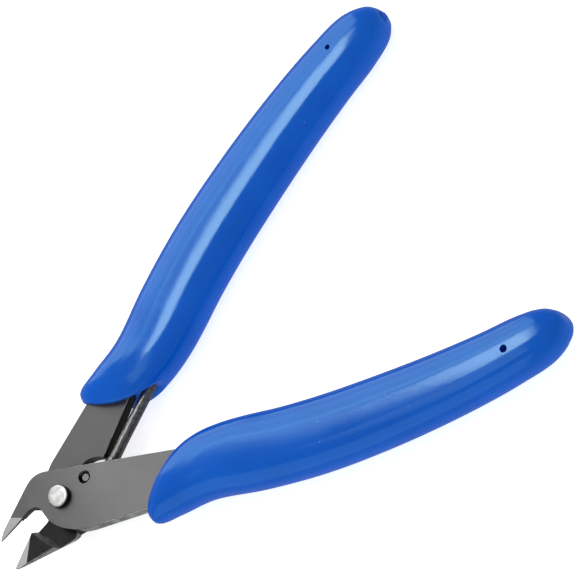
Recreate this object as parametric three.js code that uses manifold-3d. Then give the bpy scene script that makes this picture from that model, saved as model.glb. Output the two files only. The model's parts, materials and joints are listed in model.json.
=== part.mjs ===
// A flush cutter for electronics work: two stamped steel halves crossed at a rivet, a wire return
// spring and a moulded grip on each handle. Millimetres. It is drawn with the rivet's axis on Z, the
// handles opening symmetrically about +X, the jaws towards -X, and Z = 0 between the two halves; the
// last lines move it so that it lies on Z = 0 with its origin under its middle.
import * as THREE from "three";
import { ConvexGeometry } from "three/addons/geometries/ConvexGeometry.js";
import { ParametricGeometry } from "three/addons/geometries/ParametricGeometry.js";
import { mergeVertices } from "three/addons/utils/BufferGeometryUtils.js";
import Module from "manifold-3d";

const wasm = await Module();
wasm.setup();

// ---- Driving dimensions ----
const PLATE = 2.5; // thickness of each half
const PLATE_GAP = 0.06; // running clearance between the halves
const OPEN_ANGLE = 44.5; // between the two handle axes at rest, degrees
const CLOSING_ANGLE = 21.8; // from rest to where the two cutting edges lie on one line, degrees

const RIVET_RADIUS = 1.8;
const RIVET_CLEARANCE = 0.05;
const RIVET_HEAD_RADIUS = 2.12;
const RIVET_HEAD_HEIGHT = 1.2;
const PEENED_HEAD_RADIUS = 2.7;
const PEENED_HEAD_HEIGHT = 0.8;

const JAW_TOP = 1.9; // both jaws lie in one layer, from JAW_BOTTOM to JAW_TOP
const JAW_BOTTOM = JAW_TOP - PLATE;
const EDGE_OFFSET = 1.78; // from the rivet's axis to the line of the cutting edges
const THROAT_REACH = 9; // along that line, from its nearest point to the axis
const FRONT_TIP_REACH = 15.2;
const REAR_TIP_REACH = 16;
const TIP_HEIGHT = 0.5; // of the cutting edge at the tips
const RELIEF_ANGLE = 27; // of the ground face behind each cutting edge, degrees
const GRIND_REACH = 8; // the ground faces lie farther than this from the rivet's axis
const FRONT_JAW_FALL = 0.35; // of the front half's top face below JAW_TOP at its tip
const REAR_JAW_RISE = 0.25; // of the rear jaw's underside above JAW_BOTTOM, beside its bend
const REAR_JAW_TAPER = 1; // and at its tip
const CUT_MARGIN = 1; // how far a hole's cutter stands past the face it cuts
const BLANK_REACH = 110; // past both the tangs' ends
const BLANK_HEIGHT = 4; // above and below Z = 0, past both halves' faces

const SPRING_RADIUS = 1.05;
const SPRING_HOLE_RADIUS = 1.2;
const SPRING_END_RECESS = 0.55; // below the front half's face

const FRONT_GRIP_SEAT = [0.7, 0.25]; // how far each grip sits along its handle, and outwards
const REAR_GRIP_SEAT = [-0.35, -0.1];
const FRONT_MOUTH_BOW = 0; // how much farther each grip's mouth bows towards the rivet
const REAR_MOUTH_BOW = 0.95;
const TANG_CLEARANCE = 0.3;
const FRONT_PIN_HOLE_RADIUS = 0.8;
const REAR_PIN_HOLE_RADIUS = 0.6;
const PIN_HOLE_REACH = 95.4; // from the rivet's axis to the hole that the moulding pin leaves

const radians = THREE.MathUtils.degToRad;
const vec2 = (x, y) => new THREE.Vector2(x, y);
const vec3 = (x, y, z) => new THREE.Vector3(x, y, z);

// ---- Materials ----
const blackenedSteel = new THREE.MeshStandardMaterial({ color: 0x6c6c6e, roughness: 0.42, metalness: 1 });
const rivetSteel = new THREE.MeshStandardMaterial({ color: 0xcfcfcf, roughness: 0.35, metalness: 1 });
const springSteel = new THREE.MeshStandardMaterial({ color: 0x1c1c1e, roughness: 0.25, metalness: 1 });
const blueVinyl = new THREE.MeshStandardMaterial({ color: 0x0a55c8, roughness: 0.3, metalness: 0 });

// ---- Solids ----
function solid(geometry) {
  const bare = geometry.clone();
  bare.deleteAttribute("normal");
  bare.deleteAttribute("uv");
  const merged = mergeVertices(bare, 1e-4);
  const corners = merged.index.array;
  const triVerts = [];
  for (let i = 0; i < corners.length; i += 3) {
    const [a, b, c] = corners.slice(i, i + 3);
    if (a !== b && b !== c && c !== a) triVerts.push(a, b, c);
  }
  return new wasm.Manifold(
    new wasm.Mesh({
      numProp: 3,
      vertProperties: merged.attributes.position.array,
      triVerts: new Uint32Array(triVerts),
    }),
  );
}

function namedMesh(name, shape, material) {
  const made = shape.getMesh();
  const geometry = new THREE.BufferGeometry();
  geometry.setAttribute("position", new THREE.BufferAttribute(made.vertProperties, 3));
  geometry.setIndex(new THREE.BufferAttribute(made.triVerts, 1));
  geometry.computeVertexNormals();
  const mesh = new THREE.Mesh(geometry, material);
  mesh.name = name;
  return mesh;
}

function plate(outline, bottom, top, curveSegments = 14) {
  const geometry = new THREE.ExtrudeGeometry(outline, {
    depth: top - bottom,
    bevelEnabled: false,
    curveSegments,
  });
  return solid(geometry.translate(0, 0, bottom));
}

function uprightCylinder(radius, x, y, bottom, top, sides = 56) {
  const geometry = new THREE.CylinderGeometry(radius, radius, top - bottom, sides);
  return solid(geometry.rotateX(Math.PI / 2).translate(x, y, (top + bottom) / 2));
}

// Everything on the side of a plane that its normal points to.
function spaceBeyond(point, normal) {
  const size = 60;
  const geometry = new THREE.BoxGeometry(size, size, size).translate(0, 0, size / 2);
  const turn = new THREE.Quaternion().setFromUnitVectors(vec3(0, 0, 1), normal.clone().normalize());
  geometry.applyQuaternion(turn).translate(point.x, point.y, point.z);
  return solid(geometry);
}

function planeNormal(a, b, c) {
  return b.clone().sub(a).cross(c.clone().sub(a)).normalize();
}

// ---- The halves ----
// Each half is drawn in its own frame: the rivet's axis at the origin, its handle along +X, and the
// outer side of its handle towards +Y. The front half's drawing is mirrored in Y when it is built.

// The cutting edge lies on one straight line, which the two halves share when the jaws are closed.
function edgePoint(direction, side, reach) {
  const angle = radians(direction);
  const foot = vec2(Math.sin(angle), -Math.cos(angle)).multiplyScalar(side * EDGE_OFFSET);
  return foot.addScaledVector(vec2(Math.cos(angle), Math.sin(angle)), reach);
}

const FRONT_EDGE_DIRECTION = 157.3;
const REAR_EDGE_DIRECTION = CLOSING_ANGLE - OPEN_ANGLE - FRONT_EDGE_DIRECTION;

const INNER_EDGE_SLOPE = 0.131; // the inner edge of a tang climbs towards the grip
const innerEdge = (x) => -5.37 + INNER_EDGE_SLOPE * x;

const frontTang = {
  pocketInner: innerEdge(10),
  pocketOuter: 7.3,
  innerStart: [27, innerEdge(27)],
  inner: [[40, -0.9], [53, -0.4], [70, -0.9], [87, -2.4], [97, -3.4]],
  outer: [[87, 3.3], [70, 5.7], [53, 6.8], [38, 7.1], [24, 7.3]],
};
const rearTang = {
  pocketInner: -1.85,
  pocketOuter: 7.2,
  innerStart: [24, 0.38],
  inner: [[31, 1.1], [42, 1.3], [53, 1.0], [70, -0.4], [87, -2.4], [97, -3.4]],
  outer: [[87, 3.3], [70, 5.6], [53, 6.7], [38, 7.1], [24, 7.2]],
};

function traceTang(shape, tang) {
  shape.lineTo(...tang.innerStart);
  shape.splineThru(tang.inner.map(([x, y]) => vec2(x, y)));
  shape.bezierCurveTo(100.4, -3.6, 100.6, 0.8, 97.4, 1.2);
  shape.splineThru(tang.outer.map(([x, y]) => vec2(x, y)));
}

const frontThroat = edgePoint(FRONT_EDGE_DIRECTION, -1, THROAT_REACH);
const frontTip = edgePoint(FRONT_EDGE_DIRECTION, -1, FRONT_TIP_REACH);
const rearThroat = edgePoint(REAR_EDGE_DIRECTION, 1, THROAT_REACH);
const rearTip = edgePoint(REAR_EDGE_DIRECTION, 1, REAR_TIP_REACH);

function frontPlan() {
  const shape = new THREE.Shape();
  shape.moveTo(-2.6, innerEdge(-2.6));
  traceTang(shape, frontTang);
  shape.lineTo(5, 7.3);
  shape.quadraticCurveTo(-0.6, 6.9, -3.2, 3.6);
  shape.lineTo(-4.3, 1.5);
  shape.bezierCurveTo(-4.9, 0.4, -6.1, 0, -7.3, 0.9);
  shape.lineTo(frontThroat.x, frontThroat.y);
  shape.lineTo(frontTip.x, frontTip.y);
  shape.quadraticCurveTo(-14.4, 3.6, -13.5, 2.5);
  shape.lineTo(-11.2, 0.7);
  shape.lineTo(-6.8, -4);
  shape.quadraticCurveTo(-5.3, -5.9, -2.6, innerEdge(-2.6));
  return shape;
}

function rearPlan() {
  const shape = new THREE.Shape();
  shape.moveTo(10.1, -1.85);
  traceTang(shape, rearTang);
  shape.lineTo(4, 7.2);
  shape.quadraticCurveTo(-1, 6.7, -3.3, 3.3);
  shape.quadraticCurveTo(-4.5, 1.2, -5.6, 1.3);
  shape.lineTo(-8.2, 1.9);
  shape.lineTo(rearThroat.x, rearThroat.y);
  shape.lineTo(rearTip.x, rearTip.y);
  shape.quadraticCurveTo(-15.3, 0.2, -13.7, -0.6);
  shape.lineTo(-6, -5.2);
  shape.quadraticCurveTo(-4.6, -6.1, -4, -5.2);
  shape.lineTo(-3, innerEdge(-3));
  shape.lineTo(3.2, innerEdge(3.2));
  shape.lineTo(4.1, -3.4);
  shape.lineTo(4.1, -2.1);
  shape.bezierCurveTo(4.1, 0.5, 4.7, 1.3, 5.9, 1.3);
  shape.bezierCurveTo(7.9, 1.3, 9.2, 0.3, 10.1, -1.85);
  return shape;
}

// The side view of a half: a flat plate whose jaw end is set over into the shared layer.
function frontProfile() {
  const layerTop = PLATE + PLATE_GAP / 2;
  const layerBottom = PLATE_GAP / 2;
  const shape = new THREE.Shape();
  shape.moveTo(BLANK_REACH, layerBottom);
  shape.lineTo(BLANK_REACH, layerTop);
  shape.lineTo(-7.1, layerTop);
  shape.lineTo(-17, JAW_TOP - FRONT_JAW_FALL);
  shape.lineTo(-17, JAW_BOTTOM);
  shape.lineTo(-8.6, JAW_BOTTOM);
  shape.lineTo(-7.3, layerBottom);
  return shape;
}

function rearProfile() {
  const layerTop = -PLATE_GAP / 2;
  const layerBottom = -PLATE - PLATE_GAP / 2;
  const shape = new THREE.Shape();
  shape.moveTo(BLANK_REACH, layerBottom);
  shape.lineTo(BLANK_REACH, layerTop);
  shape.lineTo(-7.95, layerTop);
  shape.lineTo(-8.5, JAW_TOP);
  shape.lineTo(-18, JAW_TOP);
  shape.lineTo(-18, JAW_BOTTOM + REAR_JAW_TAPER);
  shape.lineTo(-9.6, JAW_BOTTOM + REAR_JAW_RISE);
  shape.lineTo(-7.2, layerBottom);
  return shape;
}

// A profile drawn in X and Z, drawn out along Y through the whole width of a half.
function profileSolid(outline) {
  const width = 40;
  const geometry = new THREE.ExtrudeGeometry(outline, { depth: width, bevelEnabled: false });
  return solid(geometry.rotateX(Math.PI / 2).translate(0, width / 2, 0));
}

// The jaw's ground face, which slopes from a line across the jaw down to the tip, and the relief
// under the cutting edge.
function groundJaw(blade, { throat, tip, shoulder, shoulderHeight, throatHeight }) {
  const edgeStart = vec3(throat.x, throat.y, throatHeight);
  const edgeEnd = vec3(tip.x, tip.y, TIP_HEIGHT);
  const across = vec3(shoulder[0], shoulder[1], shoulderHeight);
  const faceNormal = planeNormal(edgeStart, edgeEnd, across);
  if (faceNormal.z < 0) faceNormal.negate();

  const along = edgeEnd.clone().sub(edgeStart).normalize();
  const outward = along.clone().cross(vec3(0, 0, 1)).normalize();
  const upward = outward.clone().cross(along);
  const reliefNormal = outward.clone().multiplyScalar(Math.cos(radians(RELIEF_ANGLE)));
  reliefNormal.addScaledVector(upward, -Math.sin(radians(RELIEF_ANGLE)));
  const beyondThroat = spaceBeyond(edgeStart, vec3(along.x, along.y, 0));
  const beyondGrind = spaceBeyond(vec3(-GRIND_REACH, 0, 0), vec3(-1, 0, 0));
  return blade
    .subtract(spaceBeyond(edgeStart, faceNormal).intersect(beyondGrind))
    .subtract(spaceBeyond(edgeStart, reliefNormal).intersect(beyondThroat));
}

// The wall of the front half's throat leans back under its top edge.
function throatUndercut() {
  const top = PLATE + PLATE_GAP / 2;
  const topEdge = [[-8.4, 1.6], [-7.3, 0.9], [-6.1, 0.45], [-4.9, 0.85], [-4.3, 1.5]];
  const bottomEdge = [[-9.6, 1], [-8.8, 0.5], [-7.3, 0], [-5.9, 0.35], [-4.4, 1.5]];
  const open = [[-3.4, 3.4], [-5, 8], [-9, 8]];
  const at = (points, z) => points.map(([x, y]) => vec3(x, y, z));
  const corners = [...at([...topEdge, ...open], top), ...at([...bottomEdge, ...open], JAW_BOTTOM - 0.1)];
  return solid(new ConvexGeometry(corners));
}

// The lower outer edge of the rear half's jaw and heel is broken by a slope.
function heelSlope() {
  const jawEnd = vec3(-13.7, -0.6, 0.8);
  const heelEnd = vec3(-3.6, -5.8, -1.9);
  const under = vec3(-8.5, -1.2, -2.1);
  const normal = planeNormal(jawEnd, heelEnd, under);
  if (normal.z > 0) normal.negate();
  return spaceBeyond(jawEnd, normal).intersect(spaceBeyond(vec3(-2.6, 0, 0), vec3(-1, 0, 0)));
}

const springHole = [5.36, -2.35];

function frontBlade() {
  const top = PLATE + PLATE_GAP / 2;
  const blank = plate(frontPlan(), -BLANK_HEIGHT, BLANK_HEIGHT).intersect(profileSolid(frontProfile()));
  return groundJaw(blank, {
    throat: frontThroat,
    tip: frontTip,
    throatHeight: 2.22,
    shoulder: [-11.5, 0.8],
    shoulderHeight: 2.04,
  })
    .subtract(throatUndercut())
    .subtract(uprightCylinder(RIVET_RADIUS + RIVET_CLEARANCE, 0, 0, -CUT_MARGIN, top + CUT_MARGIN))
    .subtract(uprightCylinder(SPRING_HOLE_RADIUS, ...springHole, -CUT_MARGIN, top + CUT_MARGIN));
}

function rearBlade() {
  const blank = plate(rearPlan(), -BLANK_HEIGHT, BLANK_HEIGHT).intersect(profileSolid(rearProfile()));
  return groundJaw(blank, {
    throat: rearThroat,
    tip: rearTip,
    throatHeight: JAW_TOP,
    shoulder: [-13.6, -0.6],
    shoulderHeight: JAW_TOP,
  })
    .subtract(heelSlope())
    .subtract(uprightCylinder(RIVET_RADIUS + RIVET_CLEARANCE, 0, 0, -BLANK_HEIGHT, CUT_MARGIN));
}

// ---- The rivet ----
function rivet() {
  const top = PLATE + PLATE_GAP / 2 + PLATE_GAP;
  const bottom = -top;
  const edge = 0.2;
  const profile = [
    vec2(0, bottom - PEENED_HEAD_HEIGHT),
    vec2(PEENED_HEAD_RADIUS * 0.45, bottom - PEENED_HEAD_HEIGHT * 0.93),
    vec2(PEENED_HEAD_RADIUS * 0.8, bottom - PEENED_HEAD_HEIGHT * 0.62),
    vec2(PEENED_HEAD_RADIUS, bottom - PEENED_HEAD_HEIGHT * 0.2),
    vec2(PEENED_HEAD_RADIUS, bottom),
    vec2(RIVET_RADIUS, bottom),
    vec2(RIVET_RADIUS, top),
    vec2(RIVET_HEAD_RADIUS, top),
    vec2(RIVET_HEAD_RADIUS, top + RIVET_HEAD_HEIGHT - edge),
    vec2(RIVET_HEAD_RADIUS - edge, top + RIVET_HEAD_HEIGHT),
    vec2(0, top + RIVET_HEAD_HEIGHT),
  ];
  return solid(new THREE.LatheGeometry(profile, 48).rotateX(Math.PI / 2));
}

// ---- The return spring ----
// A straight leg held in the rear grip, which crosses to the hole in the front half and ends in it.
// Its points are in the rear half's frame.
const SPRING_PLANE = -1.3;
const springEnd = [5.48, -2.08];
const springRoute = [
  [...springEnd, PLATE + PLATE_GAP / 2 - SPRING_END_RECESS],
  [...springEnd, 1],
  [...springEnd, 0.3],
  [5.75, -2.1, -0.7],
  [7.3, -2.1, SPRING_PLANE],
  [10.3, -3.1, SPRING_PLANE],
  [15, -2.8, SPRING_PLANE],
  [24.3, -2.08, SPRING_PLANE],
  [38, -1.05, SPRING_PLANE],
  [52, -0.9, SPRING_PLANE],
];

function wire(route, radius, steps, sides = 12) {
  const path = new THREE.CatmullRomCurve3(route.map((point) => vec3(...point)), false, "centripetal");
  const section = new THREE.Shape();
  for (let i = 0; i <= sides; i++) {
    const angle = (i / sides) * 2 * Math.PI;
    const x = radius * Math.cos(angle);
    const y = radius * Math.sin(angle);
    if (i === 0) section.moveTo(x, y);
    else section.lineTo(x, y);
  }
  return solid(new THREE.ExtrudeGeometry(section, { steps, extrudePath: path, bevelEnabled: false }));
}

// ---- The grips ----
// Sections across the grip, from the lobe at its mouth to its tail: the section's outer and inner
// ends in plan, its half thickness, and how far its middle bows towards the rivet.
const gripSections = [
  { outer: [16.3, 8.2], inner: [28, -3.9], depth: 3.2, bow: 1.2 },
  { outer: [17.6, 9.85], inner: [30.8, -4.45], depth: 4.2, bow: 1.1 },
  { outer: [21.9, 9.5], inner: [35, -4.7], depth: 4.7, bow: 0.8 },
  { outer: [29, 8.6], inner: [40, -4.5], depth: 4.8, bow: 0.8 },
  { outer: [40, 9.75], inner: [47, -4], depth: 4.8, bow: 0.6 },
  { outer: [53, 10.25], inner: [56, -3.85], depth: 4.8, bow: 0.2 },
  { outer: [68, 9.35], inner: [67, -4.15], depth: 4.8, bow: 0 },
  { outer: [82, 7.55], inner: [79, -4.8], depth: 4.8, bow: 0 },
  { outer: [94, 5.2], inner: [89, -5.7], depth: 4.7, bow: 0 },
  { outer: [102, 2.75], inner: [97, -6.7], depth: 4.5, bow: 0 },
  { outer: [105.6, -0.4], inner: [102.2, -6.6], depth: 3.8, bow: 0 },
  { outer: [106.4, -2.6], inner: [105, -5.4], depth: 2.5, bow: 0 },
];
const SECTION_SQUARENESS = 2.4; // 2 is an ellipse, and more is squarer
const GRIP_SLICES = 24;
const GRIP_STACKS = 34;
const PIN_HOLE_SIDES = 20;
const GRIP_CLEAR = 6; // from a grip's middle plane to past its surface

// The extra bow of the section with that number, which fades out behind the mouth.
const fadingBow = (mouthBow, number) => mouthBow / (number + 1) ** 2;

function gripSurface(mouthBow) {
  const spline = (points) => new THREE.CatmullRomCurve3(points, false, "centripetal");
  const outer = spline(gripSections.map(({ outer: [x, y], depth }) => vec3(x, y, depth)));
  const bowAt = (number) => gripSections[number].bow + fadingBow(mouthBow, number);
  const inner = spline(gripSections.map(({ inner: [x, y] }, number) => vec3(x, y, bowAt(number))));
  const squared = (value) => Math.sign(value) * Math.abs(value) ** (2 / SECTION_SQUARENESS);
  return (u, v, target) => {
    const row = Math.round(v * GRIP_STACKS);
    const along = THREE.MathUtils.clamp((row - 1) / (GRIP_STACKS - 2), 0, 1);
    const a = outer.getPoint(along);
    const b = inner.getPoint(along);
    const depth = a.z;
    const bow = b.z;
    const closed = row === 0 || row === GRIP_STACKS;
    const angle = u * 2 * Math.PI;
    const across = closed ? 0 : squared(Math.cos(angle));
    const height = closed ? 0 : squared(Math.sin(angle));
    const half = vec3((a.x - b.x) / 2, (a.y - b.y) / 2, 0);
    const bowDirection = vec3(half.y, -half.x, 0).normalize().negate();
    target.set((a.x + b.x) / 2, (a.y + b.y) / 2, 0);
    target.addScaledVector(half, across);
    target.addScaledVector(bowDirection, bow * (1 - across * across));
    target.z = depth * height;
  };
}

function grip(tang, middle, [along, across], mouthBow, pinRadius, channel) {
  const geometry = new ParametricGeometry(gripSurface(mouthBow), GRIP_SLICES, GRIP_STACKS);
  const body = solid(geometry.translate(along, across, middle));
  const pocket = new THREE.Shape();
  pocket.moveTo(10, tang.pocketInner);
  traceTang(pocket, tang);
  pocket.lineTo(10, tang.pocketOuter);
  const pocketGeometry = new THREE.ExtrudeGeometry(pocket, {
    depth: PLATE,
    bevelThickness: TANG_CLEARANCE,
    bevelSize: TANG_CLEARANCE,
    bevelSegments: 1,
  }).translate(0, 0, middle - PLATE / 2);
  let made = body.subtract(solid(pocketGeometry));
  if (channel) made = made.subtract(channel);
  const pinEnds = [middle - GRIP_CLEAR, middle + GRIP_CLEAR];
  return made.subtract(uprightCylinder(pinRadius, PIN_HOLE_REACH, 0, ...pinEnds, PIN_HOLE_SIDES));
}

const frontMiddle = (PLATE + PLATE_GAP) / 2;
const rearMiddle = -frontMiddle;

const assembly = new THREE.Group();
const front = new THREE.Group();
const rear = new THREE.Group();
assembly.add(front, rear);
front.scale.y = -1;
front.rotation.z = radians(-OPEN_ANGLE / 2);
rear.rotation.z = radians(OPEN_ANGLE / 2);
front.add(namedMesh("front_blade", frontBlade(), blackenedSteel));
front.add(namedMesh("rivet", rivet(), rivetSteel));
const frontGrip = grip(frontTang, frontMiddle, FRONT_GRIP_SEAT, FRONT_MOUTH_BOW, FRONT_PIN_HOLE_RADIUS);
front.add(namedMesh("front_grip", frontGrip, blueVinyl));
rear.add(namedMesh("rear_blade", rearBlade(), blackenedSteel));
rear.add(namedMesh("return_spring", wire(springRoute, SPRING_RADIUS, 48), springSteel));
const springChannel = wire(springRoute.slice(4), SPRING_RADIUS + TANG_CLEARANCE, 24);
const rearGrip = grip(
  rearTang,
  rearMiddle,
  REAR_GRIP_SEAT,
  REAR_MOUTH_BOW,
  REAR_PIN_HOLE_RADIUS,
  springChannel,
);
rear.add(namedMesh("rear_grip", rearGrip, blueVinyl));

// The part's origin is the middle of the assembly's box in plan, at the height of its lowest point.
const box = new THREE.Box3().setFromObject(assembly, true);
const middle = box.getCenter(vec3(0, 0, 0));
assembly.position.set(-middle.x, -middle.y, -box.min.z);
const tool = new THREE.Group();
tool.add(assembly);

export default tool;
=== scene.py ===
"""The looks of a flush cutter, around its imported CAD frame: bevelled blackened steel with ground jaws,
a turned rivet, a glossy spring wire and moulded vinyl grips. Metres, in the CAD's own frame."""

import json
import math
from typing import NamedTuple

import bmesh
import bpy
import numpy as np
from mathutils import Matrix, Vector

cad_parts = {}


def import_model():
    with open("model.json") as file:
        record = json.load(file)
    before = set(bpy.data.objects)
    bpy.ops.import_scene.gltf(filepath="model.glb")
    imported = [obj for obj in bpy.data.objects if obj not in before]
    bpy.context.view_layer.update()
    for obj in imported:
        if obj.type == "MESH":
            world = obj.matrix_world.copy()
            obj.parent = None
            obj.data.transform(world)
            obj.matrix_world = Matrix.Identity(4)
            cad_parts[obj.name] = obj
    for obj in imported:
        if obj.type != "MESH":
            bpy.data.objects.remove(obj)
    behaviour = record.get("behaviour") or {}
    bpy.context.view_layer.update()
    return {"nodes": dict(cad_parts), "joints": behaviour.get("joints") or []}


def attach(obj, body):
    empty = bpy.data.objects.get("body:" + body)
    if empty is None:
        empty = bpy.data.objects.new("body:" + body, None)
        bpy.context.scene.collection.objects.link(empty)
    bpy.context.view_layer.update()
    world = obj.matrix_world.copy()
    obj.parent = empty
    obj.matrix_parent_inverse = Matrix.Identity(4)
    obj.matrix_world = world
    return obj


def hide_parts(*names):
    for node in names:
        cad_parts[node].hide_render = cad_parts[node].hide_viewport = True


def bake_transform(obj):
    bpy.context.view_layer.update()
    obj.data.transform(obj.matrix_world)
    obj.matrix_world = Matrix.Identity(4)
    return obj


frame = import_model()

MM = 0.001

# ---- Places, from the frame ----
PIVOT = Vector(frame["joints"][0]["pos_m"])  # on the rivet's axis, between the two halves
HALF_OPEN = math.radians(22.25)  # each handle's angle from +X at rest
PLATE = 2.5
PLATE_GAP = 0.06
FACE_HEIGHT = PLATE + PLATE_GAP / 2  # of each half's outer face from the plane between them
SPRING_RADIUS = 1.05

# ---- The view ----
VIEW_TILT = math.radians(32.8)  # between the rivet's axis and the line of sight
TILT_DIRECTION = math.radians(-23)  # towards which the near side of the picture leans
PICTURE_TURN = math.radians(35.35)  # from +X to the picture's right, seen along the rivet
CAMERA_DISTANCE = 3.333
VIEW_WIDTH = 0.10473  # across the picture, at the rivet's distance
VIEW_OFFSET = (0.04133, 0.0380)  # from the rivet to the picture's middle, right and up


class Half:
    """One half of the tool: its drawing has the rivet's axis at the origin, its handle along +X and
    the outer side of the handle towards +Y."""

    def __init__(self, body, turn, mirror):
        self.body = body
        flip = Matrix.Diagonal((1, mirror, 1))
        self.matrix = Matrix.Rotation(turn, 3, "Z") @ flip

    def place(self, x, y, z=0.0):
        """A point of the drawing, in millimetres, as a point of the row frame, in metres."""
        return self.matrix @ Vector((x, y, z)) * MM + PIVOT

    def drawn(self, point):
        """The reverse of place()."""
        return self.matrix.inverted() @ ((point - PIVOT) / MM)


FRONT = Half("front_half", -HALF_OPEN, -1)
REAR = Half("rear_half", HALF_OPEN, 1)


# ---- Mesh helpers ----
def new_object(name, mesh):
    obj = bpy.data.objects.new(name, mesh)
    bpy.context.scene.collection.objects.link(obj)
    return obj


def mesh_from(bm, name):
    bmesh.ops.recalc_face_normals(bm, faces=bm.faces)
    mesh = bpy.data.meshes.new(name)
    bm.to_mesh(mesh)
    bm.free()
    return mesh


def shade(mesh, sharp_above):
    """Smooth shading, with every edge above that many degrees left sharp."""
    mesh.polygons.foreach_set("use_smooth", [True] * len(mesh.polygons))
    mesh.set_sharp_from_angle(angle=math.radians(sharp_above))


def apply_modifiers(obj):
    graph = bpy.context.evaluated_depsgraph_get()
    mesh = bpy.data.meshes.new_from_object(obj.evaluated_get(graph))
    obj.modifiers.clear()
    obj.data = mesh


def combine(obj, others, operation):
    """Joins each of the others' solids to obj, or takes it away, then removes the others."""
    for other in others:
        modifier = obj.modifiers.new("combine", "BOOLEAN")
        modifier.operation = operation
        modifier.solver = "EXACT"
        modifier.object = other
    apply_modifiers(obj)
    for other in others:
        bpy.data.objects.remove(other)


def closed_loft(bm, rings):
    """Joins rings of points into one closed surface, with a fan on each end."""
    rows = [[bm.verts.new(point) for point in ring] for ring in rings]
    count = len(rings[0])
    for low, high in zip(rows, rows[1:]):
        for i in range(count):
            j = (i + 1) % count
            bm.faces.new((low[i], low[j], high[j], high[i]))
    for row in (rows[0], rows[-1]):
        middle = sum((v.co for v in row), Vector()) / count
        inner = [bm.verts.new(middle.lerp(v.co, 0.5)) for v in row]
        hub = bm.verts.new(middle)
        for i in range(count):
            j = (i + 1) % count
            bm.faces.new((row[i], row[j], inner[j], inner[i]))
            bm.faces.new((inner[i], inner[j], hub))


def lathe(bm, profile, centre, sides):
    """A solid of revolution about a vertical axis. profile is (radius, height) in millimetres, and
    its first and last points lie on the axis."""
    rings = []
    for radius, height in profile[1:-1]:
        ring = []
        for i in range(sides):
            angle = 2 * math.pi * i / sides
            offset = Vector((radius * math.cos(angle), radius * math.sin(angle), height))
            ring.append(bm.verts.new(centre + offset * MM))
        rings.append(ring)
    ends = [bm.verts.new(centre + Vector((0, 0, profile[k][1])) * MM) for k in (0, -1)]
    for low, high in zip(rings, rings[1:]):
        for i in range(sides):
            j = (i + 1) % sides
            bm.faces.new((low[i], low[j], high[j], high[i]))
    for i in range(sides):
        j = (i + 1) % sides
        bm.faces.new((ends[0], rings[0][j], rings[0][i]))
        bm.faces.new((ends[1], rings[-1][i], rings[-1][j]))


def catmull_rom(points, steps):
    """Points along a centripetal Catmull-Rom curve through points, with steps[i] in stretch i."""
    points = [np.array(point, float) for point in points]
    p = [2 * points[0] - points[1], *points, 2 * points[-1] - points[-2]]
    found = []
    for i, count in enumerate(steps, start=1):
        gaps = [max(np.linalg.norm(p[k + 1] - p[k]) ** 0.5, 1e-4) for k in (i - 1, i, i + 1)]
        before = (p[i] - p[i - 1]) / gaps[0] - (p[i + 1] - p[i - 1]) / (gaps[0] + gaps[1])
        after = (p[i + 1] - p[i]) / gaps[1] - (p[i + 2] - p[i]) / (gaps[1] + gaps[2])
        start = (before + (p[i + 1] - p[i]) / gaps[1]) * gaps[1]
        end = (after + (p[i + 2] - p[i + 1]) / gaps[2]) * gaps[1]
        for k in range(count):
            t = k / count
            found.append(
                p[i] * (2 * t**3 - 3 * t**2 + 1)
                + start * (t**3 - 2 * t**2 + t)
                + p[i + 1] * (3 * t**2 - 2 * t**3)
                + end * (t**3 - t**2)
            )
    found.append(p[-2])
    return found


# ---- Material helpers ----
MIX_DARK, MIX_LIGHT, MIX_RESULT = 6, 7, 2  # a Mix node's colour sockets; its other kinds share their names


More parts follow.
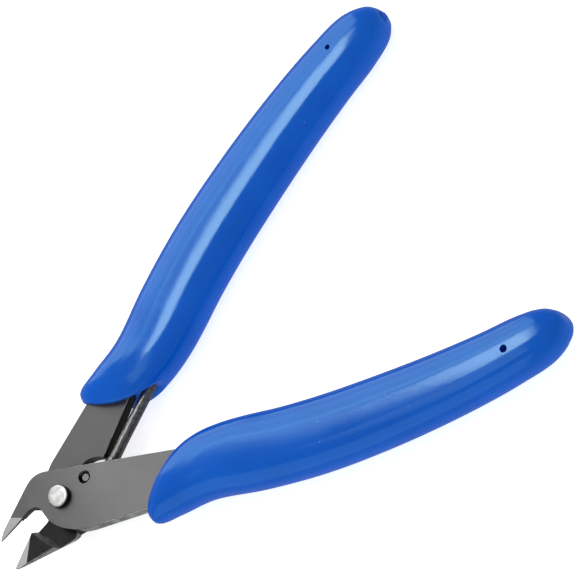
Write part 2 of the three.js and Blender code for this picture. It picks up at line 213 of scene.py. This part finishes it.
class Nodes:
    """Builds one material's node tree. Textures read the object's own coordinates, in metres."""

    def __init__(self, name):
        self.material = bpy.data.materials.new(name)
        self.material.use_nodes = True
        self.tree = self.material.node_tree
        self.shader = self.tree.nodes["Principled BSDF"]
        self.place = self.node("ShaderNodeTexCoord").outputs["Object"]

    def node(self, kind, **inputs):
        made = self.tree.nodes.new(kind)
        for key, value in inputs.items():
            self.feed(made.inputs[key.replace("_", " ")], value)
        return made

    def feed(self, socket, value):
        if isinstance(value, bpy.types.NodeSocket):
            self.tree.links.new(value, socket)
        else:
            socket.default_value = value

    def stretched(self, scale, turn=0.0):
        """The object's coordinates, divided by three factors along axes turned about Z."""
        node = self.node("ShaderNodeMapping", Vector=self.place)
        node.vector_type = "TEXTURE"
        node.inputs["Rotation"].default_value = (0, 0, turn)
        node.inputs["Scale"].default_value = scale
        return node.outputs["Vector"]

    def noise(self, size, detail=3.0, roughness=0.5, vector=None):
        """Noise whose features are about size millimetres across, in the object's own coordinates.
        On a stretched() vector they are far finer than a pixel."""
        node = self.node(
            "ShaderNodeTexNoise",
            Vector=vector or self.place,
            Scale=1 / (size * MM),
            Detail=detail,
            Roughness=roughness,
        )
        return node.outputs["Fac"]

    def ramp(self, value, low, high, start=0.0, end=1.0):
        """Turns start to end into low to high, and holds the value beyond them."""
        node = self.node("ShaderNodeMapRange", Value=value)
        for name, number in zip(("From Min", "From Max", "To Min", "To Max"), (start, end, low, high)):
            node.inputs[name].default_value = number
        return node.outputs["Result"]

    def maths(self, operation, a, b):
        node = self.node("ShaderNodeMath")
        node.operation = operation
        self.feed(node.inputs[0], a)
        self.feed(node.inputs[1], b)
        return node.outputs["Value"]

    def mix(self, factor, dark, light, kind="MIX"):
        """Blends two colours, each of which is three numbers or a socket."""
        node = self.node("ShaderNodeMix")
        node.data_type = "RGBA"
        node.blend_type = kind
        self.feed(node.inputs["Factor"], factor)
        for index, colour in ((MIX_DARK, dark), (MIX_LIGHT, light)):
            self.feed(node.inputs[index], (*colour, 1) if isinstance(colour, tuple) else colour)
        return node.outputs[MIX_RESULT]

    def bump(self, height, depth, normal=None):
        """A bump of that depth in millimetres."""
        node = self.node("ShaderNodeBump", Height=height, Distance=depth * MM)
        if normal:
            self.feed(node.inputs["Normal"], normal)
        return node.outputs["Normal"]

    def set(self, **inputs):
        for key, value in inputs.items():
            self.feed(self.shader.inputs[key.replace("_", " ")], value)
        return self


# ---- Materials ----
TONE_TURNS = (PIVOT.x - 0.003, PIVOT.x + 0.009)  # along X, where the steel turns from the jaws' darker tone to the handles' lighter one
SHEET_GRAIN = (0.0009, 0.00012, 0.001)  # stretches for an even grain, too fine to show as lines
GROUND_GRAIN = (0.00009, 0.0016, 0.001)
GROUND_TURN = math.radians(-25)


def satin_steel(name, far_gain):
    """A half's flat faces: blackened, then rubbed to a grey satin that turns lighter by far_gain
    towards the handle."""
    n = Nodes(name)
    cloud = n.noise(6, detail=4)
    grain = n.noise(0.16, detail=2, roughness=0.7)
    sheet = n.noise(1, vector=n.stretched(SHEET_GRAIN, HALF_OPEN), detail=3)
    tone = n.maths("ADD", n.maths("MULTIPLY", cloud, 0.65), n.maths("MULTIPLY", grain, 0.35))
    along = n.node("ShaderNodeSeparateXYZ", Vector=n.place).outputs["X"]
    near = n.mix(n.ramp(tone, 0, 1, 0.3, 0.7), (0.098, 0.0975, 0.0975), (0.14, 0.1385, 0.1385))
    far = n.mix(1.0, near, (far_gain, far_gain, far_gain), "MULTIPLY")
    n.set(
        Base_Color=n.mix(n.ramp(along, 0, 1, *TONE_TURNS), near, far),
        Metallic=0.7,
        Roughness=n.ramp(n.maths("ADD", cloud, sheet), 0.44, 0.56, 0.6, 1.4),
        Normal=n.bump(sheet, 0.004, n.bump(grain, 0.006)),
    )
    return n.material


def black_oxide_and_shade():
    """The sheared edges and the recessed parts, which keep their black oxide. The same black is also
    painted shade on the rear half's top face under the front plate, and on the rivet's sides.
    """
    n = Nodes("black_oxide_and_shade")
    patch = n.noise(1.6, detail=5, roughness=0.6)
    grain = n.noise(0.14, detail=2)
    n.set(
        Base_Color=n.mix(n.ramp(patch, 0, 1, 0.35, 0.7), (0.006, 0.006, 0.006), (0.018, 0.018, 0.018)),
        Metallic=0.8,
        Roughness=n.ramp(patch, 0.3, 0.5, 0.3, 0.7),
        Normal=n.bump(patch, 0.02, n.bump(grain, 0.008)),
    )
    return n.material


def grey_oxide_and_light():
    """The slopes behind the rear jaw and some side walls near the grip and the rear tip: a patchy grey in
    place of the black. On the ramp up to the rear jaw this grey is painted light, where the ramp faces the
    lamps.
    """
    n = Nodes("grey_oxide_and_light")
    patch = n.noise(1.4, detail=5, roughness=0.6)
    grain = n.noise(0.14, detail=2)
    n.set(
        Base_Color=n.mix(n.ramp(patch, 0, 1, 0.4, 0.65), (0.17, 0.17, 0.172), (0.42, 0.42, 0.42)),
        Metallic=0.5,
        Roughness=n.ramp(patch, 0.34, 0.46, 0.3, 0.7),
        Normal=n.bump(patch, 0.02, n.bump(grain, 0.006)),
    )
    return n.material


def ground_steel():
    """The jaws' ground faces, bare, with a very fine grain."""
    n = Nodes("ground_steel")
    grain = n.noise(1, vector=n.stretched(GROUND_GRAIN, GROUND_TURN), detail=4)
    cloud = n.noise(2.2)
    n.set(
        Base_Color=n.mix(n.ramp(grain, 0, 1, 0.3, 0.7), (0.5, 0.5, 0.5), (0.66, 0.66, 0.655)),
        Metallic=0.35,
        Roughness=n.ramp(n.maths("ADD", grain, cloud), 0.3, 0.42, 0.6, 1.4),
        Normal=n.bump(grain, 0.006),
    )
    return n.material


def bare_edge():
    """The rubbed corners of the steel, where the black has worn off. They are darker towards the jaws."""
    n = Nodes("bare_edge")
    wear = n.noise(1.2, detail=5, roughness=0.65)
    along = n.node("ShaderNodeSeparateXYZ", Vector=n.place).outputs["X"]
    jaw = n.mix(n.ramp(wear, 0, 1, 0.4, 0.6), (0.04, 0.04, 0.041), (0.16, 0.16, 0.158))
    handle = n.mix(n.ramp(wear, 0, 1, 0.35, 0.6), (0.2, 0.2, 0.2), (0.65, 0.65, 0.64))
    n.set(
        Base_Color=n.mix(n.ramp(along, 0, 1, *TONE_TURNS), jaw, handle),
        Metallic=1.0,
        Roughness=n.ramp(wear, 0.45, 0.28, 0.35, 0.65),
        Normal=n.bump(wear, 0.008),
    )
    return n.material


def rivet_steel():
    """The rivet's bright ends, mottled by the press that closed them."""
    n = Nodes("rivet_steel")
    mottle = n.noise(1.1, detail=5, roughness=0.6)
    pits = n.noise(0.13, detail=2)
    n.set(
        Base_Color=n.mix(n.ramp(mottle, 0, 1, 0.36, 0.62), (0.33, 0.33, 0.325), (0.5, 0.5, 0.49)),
        Metallic=1.0,
        Roughness=n.ramp(mottle, 0.42, 0.3, 0.35, 0.65),
        Normal=n.bump(mottle, 0.018, n.bump(pits, 0.006)),
    )
    return n.material


def wire_steel():
    """Hard-drawn black wire, glossy, with faint flecks."""
    n = Nodes("wire_steel")
    flecks = n.noise(0.7, detail=4, roughness=0.6)
    n.set(
        Base_Color=n.mix(n.ramp(flecks, 0, 1, 0.35, 0.65), (0.11, 0.108, 0.108), (0.25, 0.247, 0.246)),
        Metallic=0.9,
        Roughness=n.ramp(flecks, 0.28, 0.36, 0.3, 0.7),
        Normal=n.bump(flecks, 0.002),
    )
    return n.material


def cut_end():
    """The wire's flat cut end, left grey."""
    n = Nodes("cut_end")
    shear = n.noise(0.35, detail=3)
    n.set(
        Base_Color=n.mix(n.ramp(shear, 0, 1, 0.35, 0.65), (0.14, 0.14, 0.14), (0.26, 0.26, 0.255)),
        Metallic=0.8,
        Roughness=n.ramp(shear, 0.4, 0.55, 0.3, 0.7),
        Normal=n.bump(shear, 0.015),
    )
    return n.material


def blue_vinyl():
    """Glossy moulded vinyl: a slight orange peel, clouded gloss, and a few pale specks of dust."""
    n = Nodes("blue_vinyl")
    cloud = n.noise(9, detail=3)
    peel = n.noise(1.1, detail=2)
    fine = n.noise(0.25, detail=2)
    dust = n.node("ShaderNodeTexVoronoi", Vector=n.place, Scale=1 / (3.2 * MM))
    dust.feature = "F1"
    specks = n.ramp(dust.outputs["Distance"], 1, 0, 0.012, 0.045)
    blue = n.mix(n.ramp(cloud, 0, 1, 0.3, 0.7), (0.0, 0.092, 0.56), (0.0, 0.108, 0.63))
    n.set(
        Base_Color=n.mix(n.maths("MULTIPLY", specks, 0.5), blue, (0.35, 0.5, 0.85)),
        Metallic=0.0,
        IOR=1.55,
        Specular_Tint=(0.53, 0.97, 1.0, 1.0),
        Roughness=n.ramp(n.maths("ADD", cloud, fine), 0.11, 0.17, 0.6, 1.4),
        Normal=n.bump(peel, 0.01, n.bump(fine, 0.0015)),
    )
    return n.material


FRONT_SATIN = satin_steel("front_satin_steel", 1.5)
REAR_SATIN = satin_steel("rear_satin_steel", 1.0)
OXIDE_AND_SHADE = black_oxide_and_shade()
GROUND = ground_steel()
EDGE = bare_edge()
GREY_OXIDE_AND_LIGHT = grey_oxide_and_light()
RIVET_END = rivet_steel()
WIRE = wire_steel()
CUT_END = cut_end()
VINYL = blue_vinyl()


# ---- The halves ----
EDGE_BREAK = 0.09  # the width of the rubbed corners
WELD = 0.015  # CAD corners nearer than this are one corner
SATIN_SLOT, OXIDE_AND_SHADE_SLOT, GROUND_SLOT, EDGE_SLOT, GREY_OXIDE_AND_LIGHT_SLOT = range(5)
FINISH_AND_SHADE_SPLIT = 0.5  # along each half, where an edge is cut across it for a change of finish; on the rear half the top face towards the jaws from here is black, partly its own oxide and partly painted shade under the front plate
FRONT_GROUND_REACH = -9  # the front jaw's ground face lies from here to the tip
FRONT_GROUND_TOP = 2.2  # its height above the plane between the halves is less than this
FRONT_GREY_WALL = 3  # the front half's +Y side wall is a lighter grey from here to the grip
REAR_GROUND_REACH = -11  # the rear jaw's ground face lies from here to the tip
REAR_RAMP_REACH = -7.9  # the ramp up to the rear jaw lies from here towards the tip
REAR_HEEL_REACH = -4  # the rear half's -Y side wall is a lighter grey from here to the tip


def clean_copy(node):
    """The CAD node's mesh as one bmesh, with its corners merged and its flat faces whole."""
    bm = bmesh.new()
    bm.from_mesh(frame["nodes"][node].data)
    bmesh.ops.remove_doubles(bm, verts=bm.verts, dist=WELD * MM)
    bmesh.ops.dissolve_degenerate(bm, dist=WELD * MM, edges=bm.edges)
    bmesh.ops.dissolve_limit(bm, angle_limit=math.radians(1), verts=bm.verts, edges=bm.edges)
    return bm


def front_finish(place, normal):
    """The material slot of a face of the front half, from its middle and its normal in the drawing."""
    if normal.z > 0.5:
        beyond = place.x < FRONT_GROUND_REACH and place.z < FRONT_GROUND_TOP
        return GROUND_SLOT if beyond and normal.z < 0.985 else SATIN_SLOT
    if place.x > FRONT_GREY_WALL and normal.y > 0.5:
        return GREY_OXIDE_AND_LIGHT_SLOT
    return SATIN_SLOT if normal.z < -0.9 else OXIDE_AND_SHADE_SLOT


def rear_finish(place, normal):
    """The same for the rear half."""
    if place.x < REAR_RAMP_REACH and normal.x > 0.7:
        return GREY_OXIDE_AND_LIGHT_SLOT
    # The ramp and the slopes behind the rear jaw take the lighter grey, which on the ramp is painted light
    # where it faces the lamps.
    if 0.4 < normal.z < 0.995:
        return GROUND_SLOT if place.x < REAR_GROUND_REACH else GREY_OXIDE_AND_LIGHT_SLOT
    if place.x < REAR_HEEL_REACH and normal.y < -0.3:
        return GREY_OXIDE_AND_LIGHT_SLOT
    # Towards the jaws the top face takes the black: partly its own oxide, partly painted shade under the
    # front plate.
    return SATIN_SLOT if abs(normal.z) > 0.95 and place.x > FINISH_AND_SHADE_SPLIT else OXIDE_AND_SHADE_SLOT


def steel_half(name, node, half, satin, finish_at):
    """One stamped half, with its corners broken and its finishes told apart."""
    bm = clean_copy(node)
    everything = [*bm.verts, *bm.edges, *bm.faces]
    along = half.matrix @ Vector((1, 0, 0))
    bmesh.ops.bisect_plane(bm, geom=everything, plane_co=half.place(FINISH_AND_SHADE_SPLIT, 0), plane_no=along)
    bm.normal_update()
    for face in bm.faces:
        normal = half.matrix.inverted() @ face.normal
        face.material_index = finish_at(half.drawn(face.calc_center_median()), normal)
    mesh = bpy.data.meshes.new(name)
    bm.to_mesh(mesh)
    bm.free()
    obj = new_object(name, mesh)
    for material in (satin, OXIDE_AND_SHADE, GROUND, EDGE, GREY_OXIDE_AND_LIGHT):
        mesh.materials.append(material)
    bevel = obj.modifiers.new("broken edges", "BEVEL")
    bevel.width = EDGE_BREAK * MM
    bevel.segments = 2
    bevel.limit_method = "ANGLE"
    bevel.angle_limit = math.radians(35)
    bevel.use_clamp_overlap = False
    bevel.material = EDGE_SLOT
    shade(mesh, 30)
    flats = obj.modifiers.new("true flats", "WEIGHTED_NORMAL")
    flats.weight = 100
    flats.keep_sharp = True
    apply_modifiers(obj)
    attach(obj, half.body)
    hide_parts(node)


# ---- The rivet ----
SHANK_RADIUS = 1.8
HEAD_RADIUS = 2.12
HEAD_HEIGHT = 1.2
HEAD_ROUNDING = 0.28
PEEN_RADIUS = 2.7
PEEN_HEIGHT = 0.8
RIVET_SIDES = 96


def rivet():
    """The domed end below, the shank, then the flat head with its rounded rim."""
    top = FACE_HEIGHT + PLATE_GAP
    head = top + HEAD_HEIGHT
    profile = [(0, -top - PEEN_HEIGHT)]
    for degrees in range(10, 100, 10):
        angle = math.radians(degrees)
        profile.append((PEEN_RADIUS * math.sin(angle), -top - PEEN_HEIGHT * math.cos(angle)))
    profile += [(PEEN_RADIUS, -top), (SHANK_RADIUS, -top), (SHANK_RADIUS, top), (HEAD_RADIUS, top)]
    for degrees in range(0, 105, 15):
        angle = math.radians(degrees)
        inward = HEAD_ROUNDING * (1 - math.cos(angle))
        profile.append((HEAD_RADIUS - inward, head - HEAD_ROUNDING * (1 - math.sin(angle))))
    profile += [(HEAD_RADIUS * 0.5, head), (0, head)]
    bm = bmesh.new()
    lathe(bm, profile, PIVOT, RIVET_SIDES)
    obj = new_object("rivet_turned", mesh_from(bm, "rivet_turned"))
    obj.data.materials.append(RIVET_END)
    obj.data.materials.append(OXIDE_AND_SHADE)
    # The rivet's sides take the black: partly oxide, partly painted shade on the head's dark side.
    for face in obj.data.polygons:
        face.material_index = 0 if abs(face.normal.z) > 0.45 else 1
    shade(obj.data, 50)
    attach(obj, "front_half")
    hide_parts("rivet")


# ---- The return spring ----
SPRING_END_RECESS = 0.55
SPRING_PLANE = -1.3
SPRING_END = (5.48, -2.08)
SPRING_NOSE = 0.38  # the broken corner of the wire's cut end
SPRING_BENDS_FROM = (10.5, -3.1)  # towards the rivet from here, the real wire bends as the jaws close; the wire built here stays in its resting shape
SPRING_ROUTE = [
    (*SPRING_END, FACE_HEIGHT - SPRING_END_RECESS),
    (*SPRING_END, 1),
    (*SPRING_END, 0.3),
    (5.75, -2.1, -0.7),
    (7.3, -2.1, SPRING_PLANE),
    (10.3, -3.1, SPRING_PLANE),
    (15, -2.8, SPRING_PLANE),
    (24.3, -2.08, SPRING_PLANE),
    (38, -1.05, SPRING_PLANE),
    (52, -0.9, SPRING_PLANE),
]
SPRING_STEPS = [4, 5, 8, 12, 8, 8, 10, 8, 6]
WIRE_SIDES = 28


def wire_rings(radius, nose=0.0):
    """Rings round the spring's route, in the row frame. nose rounds off its two ends."""
    centres = [REAR.place(*p) for p in catmull_rom(SPRING_ROUTE, SPRING_STEPS)]
    rings = []
    side = None
    for i, centre in enumerate(centres):
        before = centres[max(i - 1, 0)]
        after = centres[min(i + 1, len(centres) - 1)]
        along = (after - before).normalized()
        if side is None:
            side = along.orthogonal().normalized()
        side = (side - along * side.dot(along)).normalized()
        other = along.cross(side)
        at_end = i in (0, len(centres) - 1)
        bevelled = [(radius - nose, 0.0), (radius, nose)] if at_end and nose else [(radius, 0.0)]
        if i:
            bevelled = [(r, -inward) for r, inward in reversed(bevelled)]
        for r, inward in bevelled:
            ring = []
            for k in range(WIRE_SIDES):
                angle = 2 * math.pi * k / WIRE_SIDES
                offset = side * (r * math.cos(angle)) + other * (r * math.sin(angle))
                ring.append(centre + (offset + along * inward) * MM)
            rings.append(ring)
    return rings


def spring():
    """The wire, from the rear grip to its end in the front half's hole, in its resting shape."""
    bm = bmesh.new()
    closed_loft(bm, wire_rings(SPRING_RADIUS, nose=SPRING_NOSE))
    obj = new_object("return_spring_wire", mesh_from(bm, "return_spring_wire"))
    obj.data.materials.append(WIRE)
    obj.data.materials.append(CUT_END)
    cut_height = PIVOT.z + (FACE_HEIGHT - SPRING_END_RECESS - 0.001) * MM
    for face in obj.data.polygons:
        face.material_index = int(face.center.z > cut_height)
    shade(obj.data, 40)
    REAR.place(*SPRING_BENDS_FROM, SPRING_PLANE)
    REAR.place(*SPRING_END, SPRING_PLANE)
    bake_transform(obj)
    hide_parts("return_spring")


# ---- The grips ----
# Sections from the lobe at the mouth to the tail: the section's outer and inner ends in plan, its
# half thickness, and how far its middle bows towards the rivet.
GRIP_SECTIONS = [
    ((16.3, 8.2), (28, -3.9), 3.2, 1.2),
    ((17.6, 9.85), (30.8, -4.45), 4.2, 1.1),
    ((21.9, 9.5), (35, -4.7), 4.7, 0.8),
    ((29, 8.6), (40, -4.5), 4.8, 0.8),
    ((40, 9.75), (47, -4), 4.8, 0.6),
    ((53, 10.25), (56, -3.85), 4.8, 0.2),
    ((68, 9.35), (67, -4.15), 4.8, 0),
    ((82, 7.55), (79, -4.8), 4.8, 0),
    ((94, 5.2), (89, -5.7), 4.7, 0),
    ((102, 2.75), (97, -6.7), 4.5, 0),
    ((105.6, -0.4), (102.2, -6.6), 3.8, 0),
    ((106.4, -2.6), (105, -5.4), 2.5, 0),
]
GRIP_STEPS = [18, 8, 8, 8, 8, 8, 8, 8, 8, 10, 12]
SECTION_SQUARENESS = 2.4
SECTION_POINTS = 96
MOUTH_FILLET = 0.4
TAIL_FILLET = 0.55
PARTING_LINE = 0.045  # how far the mould's parting line stands proud
PARTING_ANGLES = (0.25, 0.7, 1.2)  # extra points beside the parting line, in degrees
PIN_HOLE_REACH = 95.4
PIN_HOLE_SIDES = 48
PIN_CUTTER_REACH = 6.6  # past the grip's surface, above and below
CAP_REACH = 3.1  # from the tail's end to the joint of the mould's end cap
LAYER_MIDDLE = (PLATE + PLATE_GAP) / 2  # the height of the front plate's middle
TANG_CLEARANCE = 0.03
WIRE_CLEARANCE = 0.04
GATE = (105.3, -4)  # the middle of the rear grip's tail
GATE_DIRECTION = (0.9, -0.45)
GATE_SIDES = 28
GATE_RINGS = [  # each ring's radius, its height from the tail, and how ragged it is
    (1.15, -0.5, 0),
    (1.15, 0.16, 0),
    (0.98, 0.34, 0.1),
    (0.5, 0.34, 0.14),
]


class GripFit(NamedTuple):
    """How one grip sits on its half and differs from the other one, in millimetres."""

    half: Half
    seat: tuple  # its shift from the sections' places in plan
    middle: float  # its middle's height
    mouth_bow: float  # how much farther its mouth bows towards the rivet
    pin_hole: float  # the radius
    cap_step: float  # how much thinner it is beyond the end cap's joint


FRONT_FIT = GripFit(
    half=FRONT,
    seat=(0.7, 0.25),
    middle=LAYER_MIDDLE,
    mouth_bow=0.0,
    pin_hole=0.75,
    cap_step=0.07,
)
REAR_FIT = GripFit(
    half=REAR,
    seat=(-0.35, -0.1),
    middle=-LAYER_MIDDLE,
    mouth_bow=0.95,
    pin_hole=0.5,
    cap_step=0.0,
)


def section_angles():
    """Even angles round a section, with a few more beside the parting line, in radians."""
    step = 360 / SECTION_POINTS
    angles = [i * step for i in range(SECTION_POINTS)]
    for middle in (0, 180):
        angles += [(middle + sign * a) % 360 for a in PARTING_ANGLES for sign in (-1, 1)]
    return [math.radians(a) for a in sorted(angles)]


def squared(value):
    """A sine or cosine, bent so that a section is fuller than an ellipse."""
    return math.copysign(abs(value) ** (2 / SECTION_SQUARENESS), value)


def fillet_inset(distance, radius):
    """How far a rounded end draws in at that distance from its tip."""
    if distance >= radius:
        return 0.0
    return radius - math.sqrt(radius**2 - (radius - distance) ** 2)


def grip_rings(fit):
    outer = catmull_rom([(*o, depth) for o, _, depth, _ in GRIP_SECTIONS], GRIP_STEPS)
    bows = [s[3] + fit.mouth_bow / (k + 1) ** 2 for k, s in enumerate(GRIP_SECTIONS)]
    inner = catmull_rom([(*s[1], bow) for s, bow in zip(GRIP_SECTIONS, bows)], GRIP_STEPS)
    centres = [(a[:2] + b[:2]) / 2 for a, b in zip(outer, inner)]
    lengths = np.cumsum([0] + [np.linalg.norm(q - p) for p, q in zip(centres, centres[1:])])
    rings = []
    for a, b, centre, length in zip(outer, inner, centres, lengths):
        across = (a[:2] - b[:2]) / 2
        width = np.linalg.norm(across)
        left = lengths[-1] - length
        inset = fillet_inset(length, MOUTH_FILLET) + fillet_inset(left, TAIL_FILLET)
        if left < CAP_REACH:
            inset += fit.cap_step
        towards_rivet = np.array([-across[1], across[0]]) / width
        ring = []
        for angle in section_angles():
            u, v = squared(math.cos(angle)), squared(math.sin(angle))
            near_line = min(abs(math.sin(angle)) / math.sin(math.radians(PARTING_ANGLES[1])), 1)
            ridge = PARTING_LINE * (1 - near_line) * math.copysign(1, math.cos(angle))
            plan = centre + across / width * (u * (width - inset) + ridge)
            plan = plan + towards_rivet * b[2] * (1 - u * u) + fit.seat
            ring.append(fit.half.place(*plan, fit.middle + v * (a[2] - inset)))
        rings.append(ring)
    return rings


def pin_cutter(fit):
    """A cylinder right through a grip, near its tail."""
    far = PIN_CUTTER_REACH
    profile = [(0, -far), (fit.pin_hole, -far), (fit.pin_hole, far), (0, far)]
    bm = bmesh.new()
    lathe(bm, profile, fit.half.place(PIN_HOLE_REACH, 0, fit.middle), PIN_HOLE_SIDES)
    return new_object("pin hole", mesh_from(bm, "pin hole"))


def gate_stub():
    """The stub left on the rear grip's tail where the vinyl entered the mould, torn off short."""
    out = Vector((*GATE_DIRECTION, 0)).normalized()
    across = out.cross(Vector((0, 0, 1)))
    rings = []
    for radius, height, tear in GATE_RINGS:
        ring = []
        for k in range(GATE_SIDES):
            angle = 2 * math.pi * k / GATE_SIDES
            rise = height + tear * (math.sin(3 * angle + 1) + 0.6 * math.sin(7 * angle))
            point = Vector((*GATE, REAR_FIT.middle)) + out * rise + across * (radius * math.cos(angle))
            point.z += radius * math.sin(angle)
            ring.append(REAR.place(*point))
        rings.append(ring)
    bm = bmesh.new()
    closed_loft(bm, rings)
    return new_object("gate stub", mesh_from(bm, "gate stub"))


def tang_cutter(node):
    """The steel half's own shape, grown a little, which leaves the grip's pocket."""
    bm = clean_copy(node)
    bmesh.ops.triangulate(bm, faces=bm.faces)
    bm.normal_update()
    for vert in bm.verts:
        vert.co += vert.normal * (TANG_CLEARANCE * MM)
    return new_object("tang", mesh_from(bm, "tang"))


def wire_cutter():
    """The wire's own shape, grown a little, which leaves its channel in the rear grip."""
    bm = bmesh.new()
    closed_loft(bm, wire_rings(SPRING_RADIUS + WIRE_CLEARANCE))
    return new_object("wire", mesh_from(bm, "wire"))


def grip(name, node, fit, cutters, added=()):
    """One moulded grip. The cutters and the pin's hole are taken out of it, then the added joined to it."""
    bm = bmesh.new()
    closed_loft(bm, grip_rings(fit))
    obj = new_object(name, mesh_from(bm, name))
    obj.data.materials.append(VINYL)
    combine(obj, [*cutters, pin_cutter(fit)], "DIFFERENCE")
    combine(obj, added, "UNION")
    shade(obj.data, 35)
    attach(obj, fit.half.body)
    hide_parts(node)


# ---- The stage ----
FLOOR_SIZE = 6.0
FLOOR_GLOW = 0.72  # it is lit from below too, so the tool's shadow is faint
SURROUND = 0.3
WHITE = (1, 1, 1)
COOL = (0.82, 0.97, 0.96)  # the cards' tint
WARM = (1, 0.92, 0.93)  # it balances the cards' tint on the steel
STRIP_HEIGHT = 0.8
STRIPS = [  # each one's name, middle, size, radiance and colour. They hang level and face down.
    ("strip", (-0.145, 0.285), (0.18, 0.34), 8.6, WARM),
    ("strip end", (-0.27, -0.1), (0.2, 0.4), 0.9, WHITE),
    ("strip foot", (-0.22, 0.54), (0.34, 0.16), 1.6, COOL),
]
CARD_PLACE = (-0.25, 0.8)  # the two cards stand one above the other, facing the tool's side
CARDS = [  # each one's name, height, size and radiance
    ("card top", 0.785, (0.5, 0.73), 2.2),
    ("card foot", 0.21, (0.5, 0.42), 1.5),
]


def floor():
    """A plain white table, which stays out of reflections."""
    bm = bmesh.new()
    bmesh.ops.create_grid(bm, x_segments=1, y_segments=1, size=FLOOR_SIZE / 2)
    obj = new_object("floor", mesh_from(bm, "floor"))
    material = bpy.data.materials.new("floor")
    material.use_nodes = True
    shader = material.node_tree.nodes["Principled BSDF"]
    shader.inputs["Base Color"].default_value = (0.9, 0.9, 0.9, 1)
    shader.inputs["Roughness"].default_value = 0.9
    shader.inputs["Specular IOR Level"].default_value = 0.0
    shader.inputs["Emission Color"].default_value = (1, 1, 1, 1)
    shader.inputs["Emission Strength"].default_value = FLOOR_GLOW
    obj.data.materials.append(material)
    obj.visible_glossy = False


def panel(name, centre, towards, size, radiance, colour=WHITE, glossy=True):
    """A rectangular light of an even radiance. Its width lies level, across the way it faces."""
    data = bpy.data.lights.new(name, "AREA")
    data.shape = "RECTANGLE"
    data.size, data.size_y = size
    data.energy = radiance * math.pi * size[0] * size[1]
    data.color = colour
    obj = bpy.data.objects.new(name, data)
    bpy.context.scene.collection.objects.link(obj)
    obj.location = centre
    facing = Vector(towards) - Vector(centre)
    obj.rotation_euler = facing.to_track_quat("-Z", "Y").to_euler()
    obj.visible_glossy = glossy


def lights():
    for name, (x, y), size, radiance, colour in STRIPS:
        panel(name, (x, y, STRIP_HEIGHT), (x, y, 0), size, radiance, colour)
    for name, height, size, radiance in CARDS:
        panel(name, (*CARD_PLACE, height), (CARD_PLACE[0], 0, height), size, radiance, COOL)
    panel("low card", (-0.62, -0.52, 0.4), (0, 0, 0.2), (0.9, 0.8), 0.6, COOL)
    panel("ceiling", (0, 0, 1.6), (0, 0, 0), (3.2, 3.2), 0.35, glossy=False)


def world():
    """A dim, even white surround."""
    made = bpy.data.worlds.new("surround")
    made.use_nodes = True
    background = made.node_tree.nodes["Background"]
    background.inputs["Color"].default_value = (1, 1, 1, 1)
    background.inputs["Strength"].default_value = SURROUND
    bpy.context.scene.world = made


def camera():
    """A long lens, tilted from the rivet's axis."""
    toward = Vector((math.cos(TILT_DIRECTION), math.sin(TILT_DIRECTION), 0))
    side = Vector((-math.sin(TILT_DIRECTION), math.cos(TILT_DIRECTION), 0))
    axis = Vector((0, 0, 1))
    leaning = toward * math.cos(VIEW_TILT) - axis * math.sin(VIEW_TILT)
    turn = Matrix.Rotation(-PICTURE_TURN, 3, "Z")
    right = turn @ (leaning * math.cos(TILT_DIRECTION) - side * math.sin(TILT_DIRECTION))
    up = turn @ (leaning * math.sin(TILT_DIRECTION) + side * math.cos(TILT_DIRECTION))
    back = turn @ (toward * math.sin(VIEW_TILT) + axis * math.cos(VIEW_TILT))
    rivet_face = PIVOT + Vector((0, 0, FACE_HEIGHT * MM))
    target = rivet_face + right * VIEW_OFFSET[0] + up * VIEW_OFFSET[1]
    data = bpy.data.cameras.new("camera")
    data.lens = data.sensor_width * CAMERA_DISTANCE / VIEW_WIDTH
    obj = bpy.data.objects.new("camera", data)
    bpy.context.scene.collection.objects.link(obj)
    rotation = Matrix((right, up, back)).transposed().to_4x4()
    obj.matrix_world = Matrix.Translation(target + back * CAMERA_DISTANCE) @ rotation
    bpy.context.scene.camera = obj


camera()
world()
floor()
lights()
bpy.context.scene.view_settings.view_transform = "Standard"

steel_half("front_blade_steel", "front_blade", FRONT, FRONT_SATIN, front_finish)
steel_half("rear_blade_steel", "rear_blade", REAR, REAR_SATIN, rear_finish)
rivet()
spring()
grip("front_grip_vinyl", "front_grip", FRONT_FIT, [tang_cutter("front_blade")])
rear_cutters = [tang_cutter("rear_blade"), wire_cutter()]
grip("rear_grip_vinyl", "rear_grip", REAR_FIT, rear_cutters, added=[gate_stub()])
